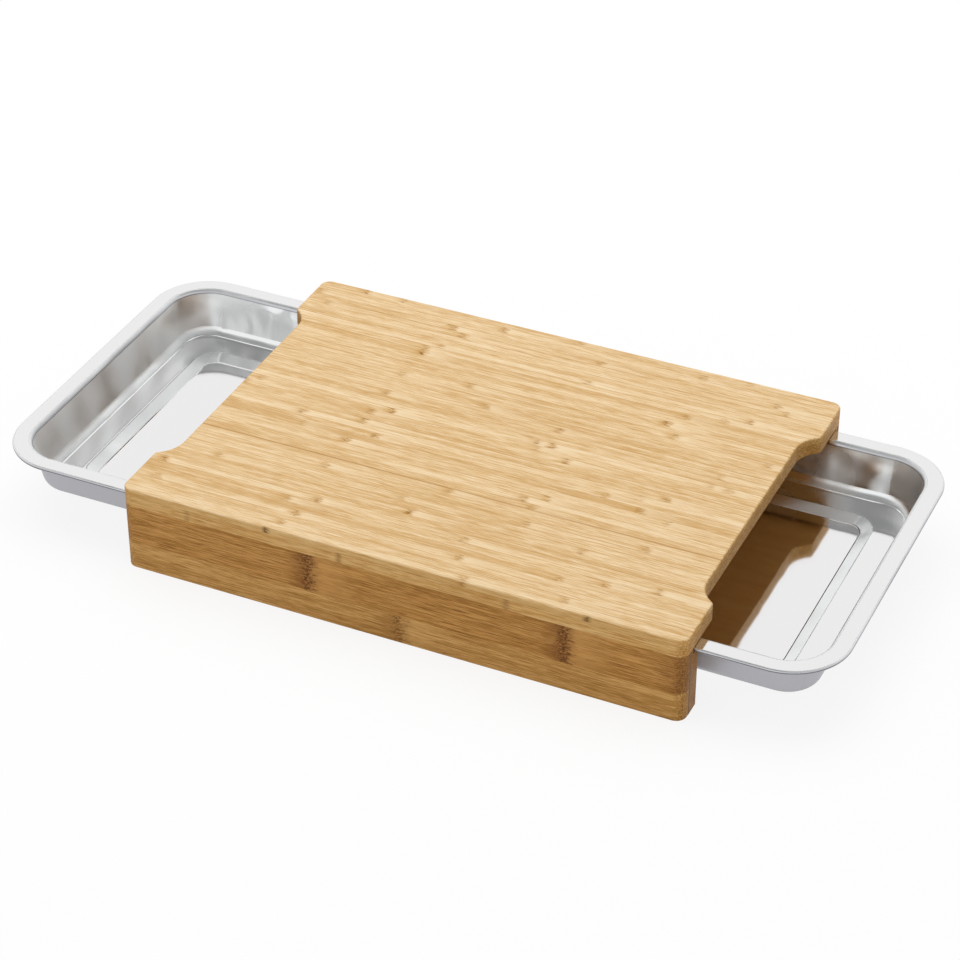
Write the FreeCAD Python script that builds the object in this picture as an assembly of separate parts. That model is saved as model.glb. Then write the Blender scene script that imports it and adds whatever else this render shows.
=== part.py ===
"""Bamboo cutting board on two side walls, with a steel tray sliding out at each end.

Millimetres. X runs along the board, Y from front to back, Z up. The origin is on the surface
that the board stands on, under the middle of the whole object with both trays drawn out.
"""

import FreeCAD, Part

import math
import os

from FreeCAD import Vector

# ---- Driving dimensions ------------------------------------------------------------------

# the board as a whole
BOARD_LENGTH = 380.0
BOARD_WIDTH = 280.0
BOARD_HEIGHT = 60.0
CORNER_RADIUS = 7.0  # upright corners, in plan
TOP_EDGE_ROUND = 1.2
FOOT_EDGE_ROUND = 0.5

# the slab: strips glued edge to edge over one core ply
SLAB_THICKNESS = 12.0
FACE_PLY_THICKNESS = 4.2
STRIP_COUNT = 46

# the finger scoop at each end of the slab
SCOOP_DEPTH = 10.6
SCOOP_FLAT_HALF = 78.0
SCOOP_SHOULDER_RADIUS = 21.0
SCOOP_MOUTH_ROUND = 3.0

# the side walls
OUTER_LAYER = 9.0
INNER_LAYER = 11.5
WALL_SEAM_HEIGHT = 20.5  # where the lower strip meets the upper one
SLOT_DEPTH = 8.5  # how far the slot is cut into the inner layer
SLOT_FLOOR = 43.4  # height of the ledge that carries the tray's rim

# the trays, pressed from one sheet
SHEET = 0.7
TRAY_LENGTH = 187.0
TRAY_WIDTH = 253.6
RIM_TOP = 47.2
RIM_CORNER_RADIUS = 40.0
RIM_FLAT = 10.0  # from the outer edge to the start of the bend
RIM_BEND = 3.0
HEM_HEIGHT = 2.8
HEM_RETURN = 5.0  # how far in the sheet folded back under the rim reaches
LEDGE_TOP = 15.5
LEDGE_START = 24.5  # where the bend at the foot of the wall ends
FOOT_BEND = 6.5
FLOOR_RING_END = 33.0  # where the ring of rim, wall and ledge meets the flat of the floor

# the recessed panel pressed into the tray's floor
PANEL_DROP = 3.5
PANEL_SIDE_INSET = 39.0
PANEL_END_INSET = 37.6
PANEL_CORNER_RADIUS = 18.0
PANEL_RAMP = 9.5
PANEL_BEND = 3.0

# how far each tray's rim stands out of the board's end
LEFT_TRAY_OUT = 107.0
RIGHT_TRAY_OUT = 84.5

# ---- Worked out from them ----------------------------------------------------------------

BOARD_X = (LEFT_TRAY_OUT - RIGHT_TRAY_OUT) / 2
END_X = BOARD_LENGTH / 2
SIDE_Y = BOARD_WIDTH / 2
WALL_HEIGHT = BOARD_HEIGHT - SLAB_THICKNESS
FACE_PLY_UNDERSIDE = BOARD_HEIGHT - FACE_PLY_THICKNESS
STRIP_WIDTH = BOARD_WIDTH / STRIP_COUNT
LAYER_SEAM_Y = SIDE_Y - OUTER_LAYER
WALL_INNER_Y = LAYER_SEAM_Y - INNER_LAYER
SLOT_BACK_Y = WALL_INNER_Y + SLOT_DEPTH
LEFT_TRAY_X = BOARD_X - END_X - LEFT_TRAY_OUT + TRAY_LENGTH / 2
RIGHT_TRAY_X = BOARD_X + END_X + RIGHT_TRAY_OUT - TRAY_LENGTH / 2

QUARTER_TURN = 90.0
UP = Vector(0, 0, 1)
CLEAR = 1.0  # how far a cutting shape runs past what it cuts
SAME_PLACE = 1e-6


# ---- Small helpers -----------------------------------------------------------------------


def box(x_low, x_high, y_low, y_high, z_low, z_high):
    size = (x_high - x_low, y_high - y_low, z_high - z_low)
    return Part.makeBox(*size, Vector(x_low, y_low, z_low))


def line(start, end):
    return Part.LineSegment(start, end).toShape()


def arc(start, middle, end):
    return Part.Arc(start, middle, end).toShape()


def rounded_rectangle(length, width, radius, z):
    """Face of a rectangle with round corners, centred on the Z axis at height z."""
    half_length, half_width = length / 2, width / 2
    part_way = radius * math.sqrt(0.5)
    edges = []
    for turn in range(4):
        along, across = (half_length, half_width) if turn % 2 == 0 else (half_width, half_length)
        start = Vector(-along + radius, -across, z)
        bend_start = Vector(along - radius, -across, z)
        bend_middle = Vector(along - radius + part_way, -across + radius - part_way, z)
        bend_end = Vector(along, -across + radius, z)
        for edge in (line(start, bend_start), arc(bend_start, bend_middle, bend_end)):
            edge.rotate(Vector(0, 0, 0), UP, QUARTER_TURN * turn)
            edges.append(edge)
    return Part.Face(Part.Wire(edges))


def mirrored_in_x(shape):
    return shape.mirror(Vector(0, 0, 0), Vector(1, 0, 0))


def mirrored_in_y(shape):
    return shape.mirror(Vector(0, 0, 0), Vector(0, 1, 0))


def in_place(shape):
    """Move a piece of the board from the board's own middle to its place in the object."""
    return shape.translated(Vector(BOARD_X, 0, 0))


def save(name, shape):
    shape = shape.removeSplitter()
    if not shape.isValid() or len(shape.Solids) != 1:
        raise ValueError(f"{name} is not one valid solid")
    shape.exportStep(f"parts/{name}.step")
    print(f"{name}: {shape.Volume / 1000:.2f} cm3")


# ---- The slab ----------------------------------------------------------------------------


def scoop_cutter():
    """The right-hand finger scoop: a straight run between two concave shoulders."""
    z_low, z_high = WALL_HEIGHT - CLEAR, BOARD_HEIGHT + CLEAR
    flat_x = END_X - SCOOP_DEPTH
    centre_x = flat_x + SCOOP_SHOULDER_RADIUS
    cutter = box(flat_x, centre_x, -SCOOP_FLAT_HALF, SCOOP_FLAT_HALF, z_low, z_high)
    for side in (-1, 1):
        centre = Vector(centre_x, side * SCOOP_FLAT_HALF, z_low)
        cutter = cutter.fuse(Part.makeCylinder(SCOOP_SHOULDER_RADIUS, z_high - z_low, centre))
    return cutter.removeSplitter()


def is_scoop_mouth(edge):
    """True for the four upright edges where a scoop's shoulder meets the end of the slab."""
    middle = edge.CenterOfMass
    upright = edge.BoundBox.ZLength > SLAB_THICKNESS - CLEAR
    at_the_end = abs(abs(middle.x) - END_X) < SAME_PLACE
    beside_the_scoop = SCOOP_FLAT_HALF < abs(middle.y) < SIDE_Y - CORNER_RADIUS - CLEAR
    return upright and at_the_end and beside_the_scoop


def slab():
    plan = rounded_rectangle(BOARD_LENGTH, BOARD_WIDTH, CORNER_RADIUS, WALL_HEIGHT)
    shape = plan.extrude(UP * SLAB_THICKNESS)
    cutter = scoop_cutter()
    shape = shape.cut(cutter).cut(mirrored_in_x(cutter))
    mouths = [edge for edge in shape.Edges if is_scoop_mouth(edge)]
    shape = shape.makeFillet(SCOOP_MOUTH_ROUND, mouths)
    top_face = max(shape.Faces, key=lambda face: face.CenterOfMass.z)
    return shape.makeFillet(TOP_EDGE_ROUND, top_face.Edges)


def make_slab():
    whole = slab()
    core_space = box(-END_X, END_X, -SIDE_Y, SIDE_Y, WALL_HEIGHT, FACE_PLY_UNDERSIDE)
    save("core_ply", in_place(whole.common(core_space)))
    for number in range(STRIP_COUNT):
        y_low = -SIDE_Y + number * STRIP_WIDTH
        strip_space = box(-END_X, END_X, y_low, y_low + STRIP_WIDTH, FACE_PLY_UNDERSIDE, BOARD_HEIGHT)
        save(f"face_strip_{number + 1:02d}", in_place(whole.common(strip_space)))


# ---- The side walls ----------------------------------------------------------------------


def wall_outer_layer():
    """Outer layer of the front wall, with its rounded ends and its eased lower edge."""
    plan = rounded_rectangle(BOARD_LENGTH, BOARD_WIDTH, CORNER_RADIUS, 0)
    block = plan.extrude(UP * WALL_HEIGHT)
    foot = min(block.Faces, key=lambda face: face.CenterOfMass.z)
    block = block.makeFillet(FOOT_EDGE_ROUND, foot.Edges)
    return block.common(box(-END_X, END_X, -SIDE_Y, -LAYER_SEAM_Y, 0, WALL_HEIGHT))


def runner():
    """Inner layer of the front wall, with the slot for the tray's rim along its top."""
    length = (-END_X, END_X)
    blank = box(*length, -LAYER_SEAM_Y, -WALL_INNER_Y, 0, WALL_HEIGHT)
    slot = box(
        -END_X - CLEAR, END_X + CLEAR, -SLOT_BACK_Y, -WALL_INNER_Y + CLEAR, SLOT_FLOOR, WALL_HEIGHT + CLEAR
    )
    return blank.cut(slot)


def make_walls():
    outer = wall_outer_layer()
    lower_space = box(-END_X, END_X, -SIDE_Y, -LAYER_SEAM_Y, 0, WALL_SEAM_HEIGHT)
    front = {
        "wall_lower_strip": outer.common(lower_space),
        "wall_upper_strip": outer.cut(lower_space),
        "runner": runner(),
    }
    for name, shape in front.items():
        save(f"front_{name}", in_place(shape))
        save(f"back_{name}", in_place(mirrored_in_y(shape)))


# ---- The trays ---------------------------------------------------------------------------


def crossed_tangent(centre_a, radius_a, centre_b, radius_b):
    """Ends of the line that touches the far side of bend a and the near side of bend b."""
    across = centre_b - centre_a
    lean = math.asin((radius_a + radius_b) / across.Length)
    turn = FreeCAD.Rotation(Vector(0, -1, 0), math.degrees(math.pi / 2 - lean))
    normal = turn.multVec(across).normalize()
    return centre_a + normal * radius_a, centre_b - normal * radius_b


def arc_about(centre, radius, start, end):
    """Arc round a centre in the XZ plane, the short way from one point to another."""
    middle = centre + ((start + end) * 0.5 - centre).normalize() * radius
    return arc(start, middle, end)


def wall_section():
    """Section of the rim, hem, wall and ledge: x is the distance in from the rim's edge."""
    hem_radius = HEM_HEIGHT / 2
    hem_centre = Vector(hem_radius, 0, RIM_TOP - hem_radius)
    rim_centre = Vector(RIM_FLAT, 0, RIM_TOP - RIM_BEND)
    foot_centre = Vector(LEDGE_START, 0, LEDGE_TOP + FOOT_BEND)
    foot_outer = FOOT_BEND + SHEET
    rim_inner = RIM_BEND - SHEET
    hem_inner = hem_radius - SHEET

    upper_a, upper_b = crossed_tangent(rim_centre, RIM_BEND, foot_centre, FOOT_BEND)
    lower_a, lower_b = crossed_tangent(rim_centre, rim_inner, foot_centre, foot_outer)

    def at(centre, right, up):
        return centre + Vector(right, 0, up)

    hem_top, hem_foot = at(hem_centre, 0, hem_radius), at(hem_centre, 0, -hem_radius)
    hem_inner_top, hem_inner_foot = at(hem_centre, 0, hem_inner), at(hem_centre, 0, -hem_inner)
    rim_end, rim_end_below = at(rim_centre, 0, RIM_BEND), at(rim_centre, 0, rim_inner)
    ledge, ledge_below = at(foot_centre, 0, -FOOT_BEND), at(foot_centre, 0, -foot_outer)
    ring_end = Vector(FLOOR_RING_END, 0, LEDGE_TOP)
    ring_end_below = ring_end - UP * SHEET
    return_end = Vector(HEM_RETURN, 0, hem_foot.z)
    return_end_above = Vector(HEM_RETURN, 0, hem_inner_foot.z)

    edges = [
        line(hem_top, rim_end),
        arc_about(rim_centre, RIM_BEND, rim_end, upper_a),
        line(upper_a, upper_b),
        arc_about(foot_centre, FOOT_BEND, upper_b, ledge),
        line(ledge, ring_end),
        line(ring_end, ring_end_below),
        line(ring_end_below, ledge_below),
        arc_about(foot_centre, foot_outer, ledge_below, lower_b),
        line(lower_b, lower_a),
        arc_about(rim_centre, rim_inner, lower_a, rim_end_below),
        line(rim_end_below, hem_inner_top),
        arc(hem_inner_top, at(hem_centre, -hem_inner, 0), hem_inner_foot),
        line(hem_inner_foot, return_end_above),
        line(return_end_above, return_end),
        line(return_end, hem_foot),
        arc(hem_foot, at(hem_centre, -hem_radius, 0), hem_top),
    ]
    return Part.Face(Part.Wire(edges))


def panel_section():
    """Section of the ramp from the ledge down to the panel: x is measured from its start."""
    panel_top = LEDGE_TOP - PANEL_DROP
    top_centre = Vector(0, 0, LEDGE_TOP - PANEL_BEND)
    foot_centre = Vector(PANEL_RAMP, 0, panel_top + PANEL_BEND)
    inner_bend = PANEL_BEND - SHEET
    outer_bend = PANEL_BEND + SHEET

    upper_a, upper_b = crossed_tangent(top_centre, PANEL_BEND, foot_centre, PANEL_BEND)
    lower_a, lower_b = crossed_tangent(top_centre, inner_bend, foot_centre, outer_bend)
    top_start = Vector(0, 0, LEDGE_TOP)
    top_start_below = Vector(0, 0, LEDGE_TOP - SHEET)
    foot_end = Vector(PANEL_RAMP, 0, panel_top)
    foot_end_below = Vector(PANEL_RAMP, 0, panel_top - SHEET)

    edges = [
        arc_about(top_centre, PANEL_BEND, top_start, upper_a),
        line(upper_a, upper_b),
        arc_about(foot_centre, PANEL_BEND, upper_b, foot_end),
        line(foot_end, foot_end_below),
        arc_about(foot_centre, outer_bend, foot_end_below, lower_b),
        line(lower_b, lower_a),
        arc_about(top_centre, inner_bend, lower_a, top_start_below),
        line(top_start_below, top_start),
    ]
    return Part.Face(Part.Wire(edges))


def swept_round(section, length, width, radius):
    """Carry a section round a rectangle with round corners, as eight pieces of one ring."""
    pieces = []
    for turn in range(4):
        run, depth = (length, width) if turn % 2 == 1 else (width, length)
        straight = section.translated(Vector(-depth / 2, -run / 2 + radius, 0))
        straight = straight.extrude(Vector(0, run - 2 * radius, 0))
        corner_axis = Vector(-depth / 2 + radius, -run / 2 + radius, 0)
        corner = section.translated(Vector(-depth / 2, -run / 2 + radius, 0))
        corner = corner.revolve(corner_axis, UP, QUARTER_TURN)
        for piece in (straight, corner):
            piece.rotate(Vector(0, 0, 0), UP, QUARTER_TURN * turn)
            pieces.append(piece)
    return pieces


def tray():
    """One tray centred on the Z axis: rim ring, ledge, ramp and panel as one pressed sheet."""
    ring = swept_round(wall_section(), TRAY_LENGTH, TRAY_WIDTH, RIM_CORNER_RADIUS)
    inside_length = TRAY_LENGTH - 2 * FLOOR_RING_END
    inside_width = TRAY_WIDTH - 2 * FLOOR_RING_END
    inside_radius = RIM_CORNER_RADIUS - FLOOR_RING_END
    panel_length = TRAY_LENGTH - 2 * PANEL_END_INSET
    panel_width = TRAY_WIDTH - 2 * PANEL_SIDE_INSET

    ledge = rounded_rectangle(inside_length, inside_width, inside_radius, LEDGE_TOP - SHEET)
    opening = rounded_rectangle(panel_length, panel_width, PANEL_CORNER_RADIUS, LEDGE_TOP - SHEET)
    ledge = ledge.cut(opening).extrude(UP * SHEET)
    ramp = swept_round(panel_section(), panel_length, panel_width, PANEL_CORNER_RADIUS)
    panel = rounded_rectangle(
        panel_length - 2 * PANEL_RAMP,
        panel_width - 2 * PANEL_RAMP,
        PANEL_CORNER_RADIUS - PANEL_RAMP,
        LEDGE_TOP - PANEL_DROP - SHEET,
    ).extrude(UP * SHEET)
    return ring[0].fuse(ring[1:] + [ledge, panel] + ramp)


def make_trays():
    shape = tray()
    save("left_tray", shape.translated(Vector(LEFT_TRAY_X, 0, 0)))
    save("right_tray", shape.translated(Vector(RIGHT_TRAY_X, 0, 0)))


os.makedirs("parts", exist_ok=True)
make_slab()
make_walls()
make_trays()
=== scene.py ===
"""Bamboo cutting board with a steel tray drawn out at each end, on a pale floor in soft light.

Lengths are in metres, and names that end in MM are in millimetres. X runs along the board,
Y from front to back and Z up. Places of grain and marks are measured from the board's middle.
"""

import random

import bpy
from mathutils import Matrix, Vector


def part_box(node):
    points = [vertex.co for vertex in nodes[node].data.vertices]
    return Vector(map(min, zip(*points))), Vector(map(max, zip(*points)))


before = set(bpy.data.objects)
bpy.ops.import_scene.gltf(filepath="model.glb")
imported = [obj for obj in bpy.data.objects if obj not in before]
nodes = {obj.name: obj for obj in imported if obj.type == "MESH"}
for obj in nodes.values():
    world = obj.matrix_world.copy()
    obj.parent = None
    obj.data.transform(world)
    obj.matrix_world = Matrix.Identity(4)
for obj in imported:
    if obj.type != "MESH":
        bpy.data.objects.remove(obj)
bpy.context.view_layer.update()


# ---- Core ply ----------------------------------------------------------------------------
# The slab's lower layer, 7.8 mm of bamboo strips glued side by side, planed and sanded. It
# shows as a band under the face strips round every edge, and as the whole of the underside.

core_low, core_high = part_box("core_ply")
BOARD_MIDDLE_X = (core_low.x + core_high.x) / 2
HALF_LENGTH_MM = (core_high.x - core_low.x) / 2 * 1000
CORE_STRIP_MM = 20.0
FACE_STRIP_FOOT_MM = 55.8
CORE_TONES = {
    "deep": "D6AA6D", "middle": "E6C28B", "pale": "F5D7AB", "fibre": "AD7C36", "knot": "744C19",
    "seam": "9A6A30",
}
CORE_KNOTS = {-143: 0.4, -37: 0.5, 75: 0.5}


def linear(hex_colour):
    """An sRGB hex colour as linear red, green, blue and alpha."""
    shares = [int(hex_colour[i:i + 2], 16) / 255 for i in (0, 2, 4)]
    return [s / 12.92 if s <= 0.04045 else ((s + 0.055) / 1.055) ** 2.4 for s in shares] + [1.0]


def add(tree, kind, settings=None, inputs=None, output=0):
    """Add a node, give its inputs values or other nodes' outputs, and return one output."""
    node = tree.nodes.new(kind)
    for name, value in (settings or {}).items():
        setattr(node, name, value)
    for name, value in (inputs or {}).items():
        if isinstance(value, bpy.types.NodeSocket):
            tree.links.new(value, node.inputs[name])
        else:
            node.inputs[name].default_value = value
    return node.outputs[output]


def fill_ramp(ramp, stops):
    """Give a colour ramp its stops, as pairs of a position and a linear colour."""
    elements = ramp.node.color_ramp.elements
    while len(elements) < len(stops):
        elements.new(1.0)
    for element, (position, colour) in zip(elements, sorted(stops, key=lambda stop: stop[0])):
        element.position = position
        element.color = colour


def grain(tree, place, along, across, seed, detail=2.0):
    """Noise drawn out along the fibres, in waves of about these millimetres."""
    squeezed = add(tree, "ShaderNodeMapping", inputs={
        "Vector": place,
        "Location": (seed * 3.17, seed * 7.31, seed * 5.93),
        "Scale": (1 / along, 1 / across, 1 / across),
    })
    return add(tree, "ShaderNodeTexNoise", inputs={
        "Vector": squeezed, "Scale": 1.0, "Detail": detail, "Roughness": 0.6,
    })


def peaks(tree, x, heights, before, after):
    """The given height at each place on the X axis, falling to 0 before and after it."""
    def share(millimetres):
        return (millimetres + HALF_LENGTH_MM) / (2 * HALF_LENGTH_MM)

    along = add(tree, "ShaderNodeMapRange", inputs={
        "Value": x, "From Min": -HALF_LENGTH_MM, "From Max": HALF_LENGTH_MM,
    })
    stops = []
    for centre, height in heights.items():
        stops += [
            (share(centre - before), (0, 0, 0, 1)),
            (share(centre), (height, height, height, 1)),
            (share(centre + after), (0, 0, 0, 1)),
        ]
    ramp = add(tree, "ShaderNodeValToRGB", inputs={"Fac": along})
    fill_ramp(ramp, [stop for stop in stops if 0 <= stop[0] <= 1])
    return ramp


# Sizes along and across the fibres. Real bundles are about 0.3 mm thick and are drawn
# coarser, more so at the ends of the strips, or they would not show.
BUNDLES_MM = (22, 0.5)
BUNDLE_ENDS_MM = (22, 1.0)


def fibre_bundles(tree, place, steep, tones, seed, contrast):
    """The darker bundles of fibre: thin dashes along a strip, and dots at its end."""
    dashes = add(tree, "ShaderNodeMapRange", inputs={
        "Value": grain(tree, place, *BUNDLES_MM, seed + 3), "From Min": 0.57, "From Max": 0.66,
        "To Max": 0.65 * contrast,
    })
    dots = add(tree, "ShaderNodeMapRange", inputs={
        "Value": grain(tree, place, *BUNDLE_ENDS_MM, seed + 8),
        "From Min": 0.42, "From Max": 0.60, "To Max": 0.8,
    })
    end = add(tree, "ShaderNodeMapRange", inputs={"Value": steep.outputs["X"], "From Max": 0.6})
    dots = add(tree, "ShaderNodeMath", {"operation": "MULTIPLY"}, {0: dots, 1: end})
    return [(dashes, tones["fibre"]), (dots, tones["fibre"])]


GLUE_PATCHES_MM = (50, 5)
GLUE_LINE_MM = 0.5
OPEN_GLUE_MM = 0.7


def glue_line(tree, place, axes, steep, tones, seed, axis, height, least):
    """A line where two pieces meet at this height on the axis, in millimetres.

    It comes and goes along its length, and never fades below the least, which is 0 for a
    tight joint. It isn't seen on the faces that the joint runs along.
    """
    away = add(tree, "ShaderNodeMath", {"operation": "SUBTRACT"}, {
        0: axes.outputs[axis], 1: height,
    })
    away = add(tree, "ShaderNodeMath", {"operation": "ABSOLUTE"}, {0: away})
    line = add(tree, "ShaderNodeMapRange", inputs={
        "Value": away, "From Min": GLUE_LINE_MM + OPEN_GLUE_MM * least, "From Max": 0.0,
    })
    patchy = add(tree, "ShaderNodeMapRange", inputs={
        "Value": grain(tree, place, *GLUE_PATCHES_MM, seed + 4),
        "From Min": 0.45, "From Max": 0.62, "To Min": least, "To Max": max(least, 0.7),
    })
    across = add(tree, "ShaderNodeMath", {"operation": "SUBTRACT"}, {
        0: 1.0, 1: steep.outputs[axis],
    })
    for share in (patchy, across):
        line = add(tree, "ShaderNodeMath", {"operation": "MULTIPLY"}, {0: line, 1: share})
    return [(line, tones["seam"])]


RAGGED_MM = (6, 1.2)
RAGGED_REACH_MM = 20
LIVELY_MM = (80, 4)
TOAST_BEFORE_MM, TOAST_AFTER_MM = 17, 9
FLAME_START_MM, FLAME_LENGTH_MM = 3, 30


def node_marks(tree, place, axes, tones, seed, marks, speck, smear):
    """The canes' nodes, where the fibres cross: dark and cream specks, side by side.

    They lie on a toasted ground, with a long pale flame on one side. Smear says how far a
    mark spreads along the strip, from 0.5 on a narrow strip to 1 on a wide one.
    """
    wavy = add(tree, "ShaderNodeMath", {"operation": "MULTIPLY_ADD"}, {
        0: grain(tree, place, *RAGGED_MM, seed + 5),
        1: RAGGED_REACH_MM * smear, 2: axes.outputs["X"],
    })
    ragged = add(tree, "ShaderNodeMath", {"operation": "SUBTRACT"}, {
        0: wavy, 1: RAGGED_REACH_MM / 2 * smear,
    })
    crossing = grain(tree, place, *speck, seed + 6)
    dark = add(tree, "ShaderNodeMapRange", inputs={
        "Value": crossing, "From Min": 0.47, "From Max": 0.54,
    })
    cream = add(tree, "ShaderNodeMapRange", inputs={
        "Value": crossing, "From Min": 0.46, "From Max": 0.36,
    })
    ground = {x: (0.45 + 0.5 * smear) * height for x, height in marks.items()}
    toasted = peaks(tree, ragged, ground, TOAST_BEFORE_MM * smear, TOAST_AFTER_MM * smear)
    blaze = {x + FLAME_START_MM: 0.8 * height for x, height in marks.items()}
    flame = peaks(tree, ragged, blaze, FLAME_START_MM, FLAME_LENGTH_MM)
    heart_reach = 2.5 + 3 * smear
    heart = peaks(tree, ragged, marks, heart_reach, heart_reach)
    # a narrow strip's mark is strong on only a part of its width
    lively = add(tree, "ShaderNodeMapRange", inputs={
        "Value": grain(tree, place, LIVELY_MM[0], LIVELY_MM[1] * smear, seed + 9, detail=0.0),
        "From Min": 0.38, "From Max": 0.53, "To Min": 0.1 + 0.9 * smear,
    })
    toasted, heart = (
        add(tree, "ShaderNodeMath", {"operation": "MULTIPLY"}, {0: part, 1: lively})
        for part in (toasted, heart)
    )
    specks, glints = (
        add(tree, "ShaderNodeMath", {"operation": "MULTIPLY"}, {0: heart, 1: part})
        for part in (dark, cream)
    )
    return [(flame, tones["pale"]), (toasted, tones["fibre"]),
            (specks, tones["mark"]), (glints, tones["middle"])]


KNOT_REACH_MM = 3
KNOT_BLOTS_MM = (4, 1.6)


def edge_knots(tree, place, axes, steep, tones, seed, knots):
    """A node cut through at a piece's long edge: a dark knot that shows on the side only."""
    blot = peaks(tree, axes.outputs["X"], knots, KNOT_REACH_MM, KNOT_REACH_MM)
    ragged = add(tree, "ShaderNodeMapRange", inputs={
        "Value": grain(tree, place, *KNOT_BLOTS_MM, seed + 7),
        "From Min": 0.28, "From Max": 0.44,
    })
    for share in (ragged, steep.outputs["Y"]):
        blot = add(tree, "ShaderNodeMath", {"operation": "MULTIPLY"}, {0: blot, 1: share})
    return [(blot, tones["knot"])]


# Sizes along and across the fibres. The finest real fibres are about 0.1 mm thick, and are
# drawn at 0.4 mm, or they would not show.
WANDER_MM = (140, 5)
FIBRES_MM = (38, 0.9)
HAIRS_MM = (12, 0.4)
RAISED_GRAIN = 0.00015
SPECK_MM = (4.0, 0.5)

OILED_SHINE = 0.2
OPEN_FIBRE_ROUGHNESS = 0.56
CLOSED_FIBRE_ROUGHNESS = 0.46
# tints by facing, partly the oiling's colour and partly painted shade: deeper on edges and
# ends, deepest underneath
UNDERSIDE_OIL_AND_SHADE = "E8C48C"
EDGE_OIL_AND_SHADE = "E8D8B4"
TOP_OIL = "FFFFFF"


def bamboo(name, tones, seed, tone=0.0, contrast=1.0, plank=None, seams=(),
           marks=None, speck=SPECK_MM, smear=0.5, knots=None):
    """Sanded and oiled bamboo: long straight fibres, with a speckled mark at each node.

    Oiling leaves a satin gloss, a little duller where the fibres are open. Edges, ends and
    the underside are painted deeper and warmer than the top, the underside most: partly for
    the oiling they soak up, partly as painted shade. A plank width, in millimetres, makes one
    piece show the strips it was glued from.
    """
    tones = {part: linear(colour) for part, colour in tones.items()}
    material = bpy.data.materials.new(name)
    material.use_nodes = True
    tree = material.node_tree
    shader = tree.nodes["Principled BSDF"]
    shader.inputs["Specular IOR Level"].default_value = OILED_SHINE

    place = add(tree, "ShaderNodeMapping", inputs={
        "Vector": add(tree, "ShaderNodeTexCoord", output="Object"),
        "Location": (-BOARD_MIDDLE_X * 1000, 0, 0),
        "Scale": (1000, 1000, 1000),
    })
    axes = add(tree, "ShaderNodeSeparateXYZ", inputs={"Vector": place}).node
    normal = add(tree, "ShaderNodeTexCoord", output="Normal")
    upward = add(tree, "ShaderNodeSeparateXYZ", inputs={"Vector": normal}, output="Z")
    steep = add(tree, "ShaderNodeVectorMath", {"operation": "ABSOLUTE"}, {0: normal})
    steep = add(tree, "ShaderNodeSeparateXYZ", inputs={"Vector": steep}).node

    if plank:
        lane = add(tree, "ShaderNodeMath", {"operation": "DIVIDE"}, {
            0: axes.outputs["Y"], 1: plank,
        })
        lane = add(tree, "ShaderNodeMath", {"operation": "FLOOR"}, {0: lane})
        chance = add(tree, "ShaderNodeTexWhiteNoise", {"noise_dimensions": "1D"}, {"W": lane})
        tone = add(tree, "ShaderNodeMapRange", inputs={
            "Value": chance, "To Min": -0.02, "To Max": 0.02,
        })

    # the wood's own colour: slow changes along the strip, with fibres and hairs in them
    wander = grain(tree, place, *WANDER_MM, seed, detail=1.0)
    fibres = grain(tree, place, *FIBRES_MM, seed + 1, detail=3.0)
    hairs = grain(tree, place, *HAIRS_MM, seed + 2, detail=3.0)
    shade = tone
    for noise, weight in ((wander, 0.20), (fibres, 0.27), (hairs, 0.53)):
        shade = add(tree, "ShaderNodeMath", {"operation": "MULTIPLY_ADD"}, {
            0: noise, 1: weight, 2: shade,
        })
    colour = add(tree, "ShaderNodeValToRGB", inputs={"Fac": shade})
    fill_ramp(colour, [
        (0.50 - 0.08 / contrast, tones["deep"]),
        (0.50, tones["middle"]),
        (0.50 + 0.09 / contrast, tones["pale"]),
    ])

    # what lies over it, from the first to the last
    under = add(tree, "ShaderNodeMapRange", inputs={
        "Value": upward, "From Min": -0.5, "From Max": -0.9, "To Max": 0.6,
    })
    layers = fibre_bundles(tree, place, steep, tones, seed, contrast)
    layers.append((under, tones["middle"]))
    for axis, height, least in seams:
        layers += glue_line(tree, place, axes, steep, tones, seed, axis, height, least)
    if marks:
        layers += node_marks(tree, place, axes, tones, seed, marks, speck, smear)
    if knots:
        layers += edge_knots(tree, place, axes, steep, tones, seed, knots)
    for factor, tint in layers:
        colour = add(tree, "ShaderNodeMix", {"data_type": "RGBA"}, {
            "Factor": factor, 6: colour, 7: tint,
        }, output=2)

    # 0 is straight down, 0.5 a side and 1 straight up
    tilt = add(tree, "ShaderNodeMapRange", inputs={"Value": upward, "From Min": -1.0})
    # painted shade, with some of the oiling's own colour: sides deeper and warmer, the
    # underside deepest
    oil_and_shade = add(tree, "ShaderNodeValToRGB", inputs={"Fac": tilt})
    fill_ramp(oil_and_shade, [
        (0.10, linear(UNDERSIDE_OIL_AND_SHADE)),
        (0.40, linear(EDGE_OIL_AND_SHADE)),
        (0.62, linear(EDGE_OIL_AND_SHADE)),
        (0.92, linear(TOP_OIL)),
    ])
    colour = add(tree, "ShaderNodeMix", {"data_type": "RGBA", "blend_type": "MULTIPLY"}, {
        "Factor": 1.0, 6: colour, 7: oil_and_shade,
    }, output=2)
    tree.links.new(colour, shader.inputs["Base Color"])

    gloss = add(tree, "ShaderNodeMapRange", inputs={
        "Value": fibres, "From Min": 0.3, "From Max": 0.7,
        "To Min": OPEN_FIBRE_ROUGHNESS, "To Max": CLOSED_FIBRE_ROUGHNESS,
    })
    tree.links.new(gloss, shader.inputs["Roughness"])
    relief = add(tree, "ShaderNodeBump", inputs={
        "Height": hairs, "Strength": 0.3 * contrast, "Distance": RAISED_GRAIN,
    })
    tree.links.new(relief, shader.inputs["Normal"])
    return material


nodes["core_ply"].data.materials[0] = bamboo(
    "sanded_bamboo_core", CORE_TONES, seed=300, contrast=1.5, plank=CORE_STRIP_MM,
    seams=(("Z", FACE_STRIP_FOOT_MM, 0.3),), knots=CORE_KNOTS,
)


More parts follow.
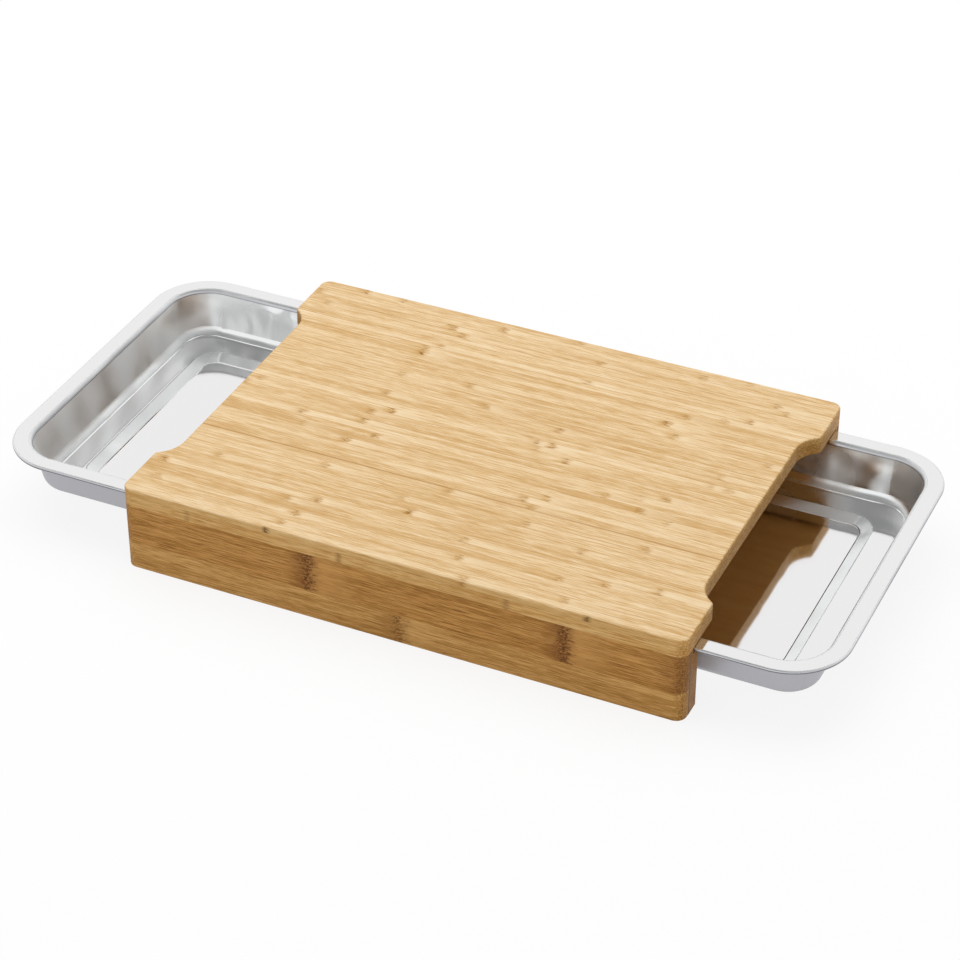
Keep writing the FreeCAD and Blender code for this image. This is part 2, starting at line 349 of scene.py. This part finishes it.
# ---- Face strips -------------------------------------------------------------------------
# Forty-six strips of natural bamboo, each about 6 mm wide, glued edge to edge over the core
# and sanded as one. Some come from paler canes, and the canes' nodes leave speckled marks.

FACE_TONES = {
    "deep": "D0A66C", "middle": "E7C593", "pale": "F6DDB5", "fibre": "C8933A", "mark": "8A5500",
    "seam": "A97224", "knot": "5A3200",
}
STRIP_COUNT = 46
STRIP_VARIETY = 0.018
CREAM_STRIPS = (1, 4, 7, 11, 18, 21, 26, 28, 39, 41)
CREAM_SHIFT = 0.03
DEEP_STRIPS = (5, 15, 19, 23, 37)
DEEP_SHIFT = -0.035
# where each strip's nodes lie along it, in millimetres
NODE_MARKS = {
    1: (46,), 2: (-81, 109), 4: (-175, -77, 34), 5: (97,), 6: (-90, 125),
    7: (-181, -72, 29, 157), 9: (-14,), 10: (-151, 99), 11: (-25,), 12: (57,),
    13: (-85, 134), 14: (-1,), 15: (53,), 16: (44,), 17: (57,), 18: (-86, 135),
    19: (-120, 115), 20: (-71, 90), 21: (-127, 110), 22: (-86, 126), 24: (-177, -86, 52),
    25: (-170, -74, 29), 26: (27, 37, 146, 158), 28: (-87, 147), 29: (34,), 30: (-21,),
    32: (-87, 170), 33: (-40, 104), 35: (94,), 37: (-87, 103), 38: (-87, 127),
    39: (-79, 29, 142), 42: (-174, -71, 160), 43: (-82, 27, 152), 44: (-185,),
    45: (-49, 96), 46: (-156, -127, 5, 127),
}
STRONG_MARKS = ((37, -87), (35, 94), (25, -74), (18, -86), (9, -14), (43, -82), (26, 37))
EDGE_KNOTS = {1: {-87: 1.0, 127: 0.9}}
# the joint below this strip is the one that shows as a line along the whole board
OPEN_JOINT = 15
OPEN_JOINT_LEAST = 0.75
cane = random.Random(11)
for number in range(1, STRIP_COUNT + 1):
    strip = nodes[f"face_strip_{number:02d}"]
    low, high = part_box(strip.name)
    tone = cane.uniform(-STRIP_VARIETY, STRIP_VARIETY)
    if number in CREAM_STRIPS:
        tone += CREAM_SHIFT
    if number in DEEP_STRIPS:
        tone += DEEP_SHIFT
    marks = {
        x: 1.0 if (number, x) in STRONG_MARKS else cane.uniform(0.4, 0.8)
        for x in NODE_MARKS.get(number, ())
    }
    seams = (
        ("Y", low.y * 1000, OPEN_JOINT_LEAST if number == OPEN_JOINT else 0.0),
        ("Y", high.y * 1000, OPEN_JOINT_LEAST if number + 1 == OPEN_JOINT else 0.0),
    )
    strip.data.materials[0] = bamboo(
        f"oiled_bamboo_strip_{number:02d}", FACE_TONES, seed=number * 11, tone=tone,
        contrast=0.9, seams=seams, marks=marks, knots=EDGE_KNOTS.get(number),
    )


# ---- Wall strips -------------------------------------------------------------------------
# The outer layer of each side wall: a lower and an upper strip of broad, golden bamboo, 9 mm
# thick, with the cane's skin side out. Their nodes are dark bands right across the strip.

UPPER_TONES = {
    "deep": "AF8341", "middle": "CD9E5D", "pale": "E0B378", "fibre": "8C5B22", "mark": "5A3000",
    "seam": "3C2106",
}
LOWER_TONES = {
    "deep": "BF9659", "middle": "DDB377", "pale": "F0CB97", "fibre": "9E7033", "mark": "6B4208",
    "seam": "3C2106",
}
WALL_MARKS = {
    "front_wall_upper_strip": {-59: 0.95, 113: 1.0, 186: 0.5},
    "front_wall_lower_strip": {3: 0.7},
    "back_wall_upper_strip": {-98: 0.8, 74: 0.7},
    "back_wall_lower_strip": {-21: 0.7, 141: 0.9},
}
WALL_SPECK_MM = (1.8, 0.8)
LAYER_JOIN_MM = 131
LAYER_SEAMS = (("Y", -LAYER_JOIN_MM, 0.9), ("Y", LAYER_JOIN_MM, 0.9))
for index, (name, marks) in enumerate(WALL_MARKS.items()):
    upper = "upper" in name
    nodes[name].data.materials[0] = bamboo(
        f"oiled_bamboo_{name}", UPPER_TONES if upper else LOWER_TONES, seed=600 + index * 11,
        contrast=1.7 if upper else 1.4, seams=LAYER_SEAMS, marks=marks,
        speck=WALL_SPECK_MM, smear=1.0,
    )


# ---- Runners -----------------------------------------------------------------------------
# The inner layer of each side wall, 11.5 mm thick, glued behind the outer strips. The slot
# that carries the trays' rims is milled along its top edge and left as the cutter leaves it.

for index, name in enumerate(("front_runner", "back_runner")):
    nodes[name].data.materials[0] = bamboo(
        f"milled_bamboo_{name}", UPPER_TONES, seed=700 + index * 11, contrast=1.5,
        seams=LAYER_SEAMS,
    )


# ---- Trays -------------------------------------------------------------------------------
# Each tray is pressed from one sheet of stainless steel, 0.7 mm thick, with its rim hemmed
# under. The flats keep the bright-rolled mirror, the drawn walls go softer, and the outside
# is left dull, with its colour painted greyer as shade.

MIRROR_ROUGHNESS = 0.07
DULL_ROUGHNESS = 0.5
# polish comes and goes on the drawn walls in patches about 33 mm across
PATCHES_A_METRE = 30.0
PATCH_ROUGHNESS = (0.42, 0.68)
# shallow dents about 25 mm across, drawn deeper than real ones, or they would not show
DENTS_A_METRE = 40.0
DENT_DEPTH = 0.001
FLAT_DENTS = 0.1
DRAWN_DENTS = 1.6
# heights at which the rim and its hem begin, and between which the bend's dark line runs
RIM_FOOT = (0.0440, 0.0450)
BEND_LINE_FOOT = (0.0442, 0.0445)
BEND_LINE_TOP = (0.0448, 0.0451)
FLAT_STEEL = "ECEBEB"
DRAWN_STEEL = "EEF0F0"
SHADED_DULL_STEEL = "B9B9BE"
FOLD_SHADOW = "55555A"

steel = bpy.data.materials.new("pressed_stainless_steel")
steel.use_nodes = True
tree = steel.node_tree
shader = tree.nodes["Principled BSDF"]
shader.inputs["Metallic"].default_value = 1.0
place = add(tree, "ShaderNodeTexCoord", output="Object")
height = add(tree, "ShaderNodeSeparateXYZ", inputs={"Vector": place}, output="Z")
normal = add(tree, "ShaderNodeTexCoord", output="Normal")
upward = add(tree, "ShaderNodeSeparateXYZ", inputs={"Vector": normal}, output="Z")
steep = add(tree, "ShaderNodeVectorMath", {"operation": "ABSOLUTE"}, {0: normal})
steep = add(tree, "ShaderNodeSeparateXYZ", inputs={"Vector": steep}).node

# how much of a place was drawn rather than left flat, and whether it is outside the tray
drawn = add(tree, "ShaderNodeMapRange", inputs={
    "Value": steep.outputs["Z"], "From Min": 0.985, "From Max": 0.945,
})
outside = add(tree, "ShaderNodeMapRange", inputs={
    "Value": upward, "From Min": 0.05, "From Max": -0.10,
})
# the step across the floor's end is pressed so softly that it mirrors almost as flats do
soft_step = add(tree, "ShaderNodeMapRange", inputs={
    "Value": steep.outputs["X"], "From Min": 0.04, "From Max": 0.14, "To Max": 0.92,
})
shallow = add(tree, "ShaderNodeMapRange", inputs={
    "Value": upward, "From Min": 0.86, "From Max": 0.91,
})
soft_step = add(tree, "ShaderNodeMath", {"operation": "MULTIPLY"}, {0: soft_step, 1: shallow})

# the sheet was rolled along the trays, so a wall that crosses the grain is the duller one
patches = add(tree, "ShaderNodeTexNoise", inputs={
    "Vector": place, "Scale": PATCHES_A_METRE, "Detail": 0.0,
})
patches = add(tree, "ShaderNodeMapRange", inputs={
    "Value": patches, "From Min": 0.35, "From Max": 0.65,
    "To Min": PATCH_ROUGHNESS[0], "To Max": PATCH_ROUGHNESS[1],
})
satin = add(tree, "ShaderNodeMath", {"operation": "MULTIPLY_ADD"}, {
    0: steep.outputs["Y"], 1: -0.33, 2: patches,
})
worked = add(tree, "ShaderNodeMath", {"operation": "MULTIPLY_ADD"}, {
    0: soft_step, 1: -0.5, 2: drawn,
})
softness = add(tree, "ShaderNodeMapRange", inputs={
    "Value": worked, "To Min": MIRROR_ROUGHNESS, "To Max": satin,
})
dull = add(tree, "ShaderNodeMath", {"operation": "MULTIPLY"}, {0: outside, 1: DULL_ROUGHNESS})
softness = add(tree, "ShaderNodeMath", {"operation": "MAXIMUM"}, {0: softness, 1: dull})
tree.links.new(softness, shader.inputs["Roughness"])

# painted shade: the rolled edge of the rim and the bend inside it are painted a little greyer
rim = add(tree, "ShaderNodeMapRange", inputs={
    "Value": height, "From Min": RIM_FOOT[0], "From Max": RIM_FOOT[1],
})
turned = add(tree, "ShaderNodeMapRange", inputs={
    "Value": upward, "From Min": 0.9, "From Max": 0.5, "To Max": 0.8,
})
turned = add(tree, "ShaderNodeMath", {"operation": "MULTIPLY"}, {0: turned, 1: rim})
# painted shade: the outside and the rim's turned edge are painted a greyer steel
shade_greyed = add(tree, "ShaderNodeMath", {"operation": "MAXIMUM"}, {0: outside, 1: turned})

# a thin line of painted shadow runs inside the rim where the sheet is bent, and a stronger one
# at the hem
bend = add(tree, "ShaderNodeMapRange", inputs={
    "Value": height, "From Min": BEND_LINE_FOOT[0], "From Max": BEND_LINE_FOOT[1],
})
below = add(tree, "ShaderNodeMapRange", inputs={
    "Value": height, "From Min": BEND_LINE_TOP[1], "From Max": BEND_LINE_TOP[0],
})
upright = add(tree, "ShaderNodeMapRange", inputs={
    "Value": steep.outputs["Z"], "From Min": 0.9, "From Max": 0.7, "To Max": 0.5,
})
for share in (below, upright):
    bend = add(tree, "ShaderNodeMath", {"operation": "MULTIPLY"}, {0: bend, 1: share})
hem = add(tree, "ShaderNodeMapRange", inputs={
    "Value": steep.outputs["Z"], "From Min": 0.30, "From Max": 0.20, "To Max": 0.8,
})
hem = add(tree, "ShaderNodeMath", {"operation": "MULTIPLY"}, {0: hem, 1: rim})
fold = add(tree, "ShaderNodeMath", {"operation": "MAXIMUM"}, {0: bend, 1: hem})

# the drawn walls' tint, then the painted shade on the outside and rim, then the fold's painted
# shadow line
colour = linear(FLAT_STEEL)
for factor, tint in ((drawn, DRAWN_STEEL), (shade_greyed, SHADED_DULL_STEEL), (fold, FOLD_SHADOW)):
    colour = add(tree, "ShaderNodeMix", {"data_type": "RGBA"}, {
        "Factor": factor, 6: colour, 7: linear(tint),
    }, output=2)
tree.links.new(colour, shader.inputs["Base Color"])

# the walls belly inwards a little towards their foot
belly = add(tree, "ShaderNodeMapRange", inputs={
    "Value": upward, "From Min": 0.1, "From Max": 0.3, "To Max": 0.18,
})
eased = add(tree, "ShaderNodeMath", {"operation": "MAXIMUM"}, {0: soft_step, 1: belly})
eased = add(tree, "ShaderNodeMix", {"data_type": "VECTOR"}, {
    "Factor": eased, 4: normal, 5: (0, 0, 1),
}, output=1)
eased = add(tree, "ShaderNodeVectorMath", {"operation": "NORMALIZE"}, {0: eased})
dents = add(tree, "ShaderNodeTexNoise", inputs={
    "Vector": place, "Scale": DENTS_A_METRE, "Detail": 1.0,
})
depth = add(tree, "ShaderNodeMapRange", inputs={
    "Value": drawn, "To Min": FLAT_DENTS, "To Max": DRAWN_DENTS,
})
dents = add(tree, "ShaderNodeMath", {"operation": "MULTIPLY"}, {0: dents, 1: depth})
uneven = add(tree, "ShaderNodeBump", inputs={
    "Height": dents, "Strength": 1.0, "Distance": DENT_DEPTH, "Normal": eased,
})
tree.links.new(uneven, shader.inputs["Normal"])
for name in ("left_tray", "right_tray"):
    nodes[name].data.materials[0] = steel


# ---- Floor -------------------------------------------------------------------------------
# A sheet of white paper, much larger than the board. Rays from the camera and in mirrors see
# it almost white, and it keeps the soft shadow under the board and the trays.

FLOOR_HALF = 6.0
PAPER = "FDFDFD"
SEEN_WHITE = 0.85

floor_mesh = bpy.data.meshes.new("paper_floor")
floor_corners = [
    (-FLOOR_HALF, -FLOOR_HALF, 0), (FLOOR_HALF, -FLOOR_HALF, 0),
    (FLOOR_HALF, FLOOR_HALF, 0), (-FLOOR_HALF, FLOOR_HALF, 0),
]
floor_mesh.from_pydata(floor_corners, [], [(0, 1, 2, 3)])
floor = bpy.data.objects.new("paper_floor", floor_mesh)
bpy.context.scene.collection.objects.link(floor)


def seen_directly(tree):
    """1 for rays from the camera or by way of a mirror or glass, and 0 for all others."""
    rays = add(tree, "ShaderNodeLightPath").node
    seen = add(tree, "ShaderNodeMath", {"operation": "MAXIMUM"}, {
        0: rays.outputs["Is Camera Ray"], 1: rays.outputs["Is Glossy Ray"],
    })
    return add(tree, "ShaderNodeMath", {"operation": "MAXIMUM"}, {
        0: seen, 1: rays.outputs["Is Transmission Ray"],
    })


paper = bpy.data.materials.new("white_paper")
paper.use_nodes = True
tree = paper.node_tree
tree.nodes.remove(tree.nodes["Principled BSDF"])
sheet = add(tree, "ShaderNodeBsdfDiffuse", inputs={"Color": linear(PAPER)})
white = add(tree, "ShaderNodeEmission", inputs={"Color": (1, 1, 1, 1), "Strength": 1.0})
share = add(tree, "ShaderNodeMath", {"operation": "MULTIPLY"}, {
    0: seen_directly(tree), 1: SEEN_WHITE,
})
surface = add(tree, "ShaderNodeMixShader", inputs={0: share, 1: sheet, 2: white})
tree.links.new(surface, tree.nodes["Material Output"].inputs["Surface"])
floor_mesh.materials.append(paper)


# ---- Sky and lamp ------------------------------------------------------------------------
# The sky gives even light, and is seen as white walls under a darker ceiling. One large soft
# lamp hangs above and a little behind the board, and mirrors don't show it.

SKY_LIGHT = 0.58
CEILING = 0.32
WALL_TOP = 0.72
CEILING_EDGE = 0.90
world = bpy.data.worlds.new("white_studio")
world.use_nodes = True
tree = world.node_tree
rise = add(tree, "ShaderNodeSeparateXYZ", inputs={
    "Vector": add(tree, "ShaderNodeTexCoord", output="Generated"),
}, output="Z")
seen_white = add(tree, "ShaderNodeMapRange", {"interpolation_type": "SMOOTHSTEP"}, {
    "Value": rise, "From Min": WALL_TOP, "From Max": CEILING_EDGE,
    "To Min": 1.0, "To Max": CEILING,
})
strength = add(tree, "ShaderNodeMapRange", inputs={
    "Value": seen_directly(tree), "To Min": SKY_LIGHT, "To Max": seen_white,
})
sky = tree.nodes["Background"]
sky.inputs["Color"].default_value = (1, 1, 1, 1)
tree.links.new(strength, sky.inputs["Strength"])
bpy.context.scene.world = world

LAMP_WATTS = 40.0
lamp = bpy.data.lights.new("softbox", "AREA")
lamp.shape = "RECTANGLE"
lamp.size, lamp.size_y = 3.2, 2.4
lamp.energy = LAMP_WATTS
softbox = bpy.data.objects.new("softbox", lamp)
softbox.location = (-0.5, 0.7, 2.4)
softbox.rotation_euler = (-softbox.location).to_track_quat("-Z", "Y").to_euler()
softbox.visible_glossy = False
bpy.context.scene.collection.objects.link(softbox)


# ---- Camera ------------------------------------------------------------------------------
# It stands in front of the board, a little to the right, and looks down at about 35 degrees
# through a long lens, so that the board's edges hardly run together.

camera = bpy.data.cameras.new("camera")
camera.sensor_width = 36.0
camera.lens = 108.5
viewer = bpy.data.objects.new("camera", camera)
viewer.location = (0.6481, -1.3950, 1.0943)
aim = Vector((-0.0006, 0.0113, 0.0220))
viewer.rotation_euler = (aim - viewer.location).to_track_quat("-Z", "Y").to_euler()
bpy.context.scene.collection.objects.link(viewer)
bpy.context.scene.camera = viewer
bpy.context.scene.view_settings.view_transform = "Standard"
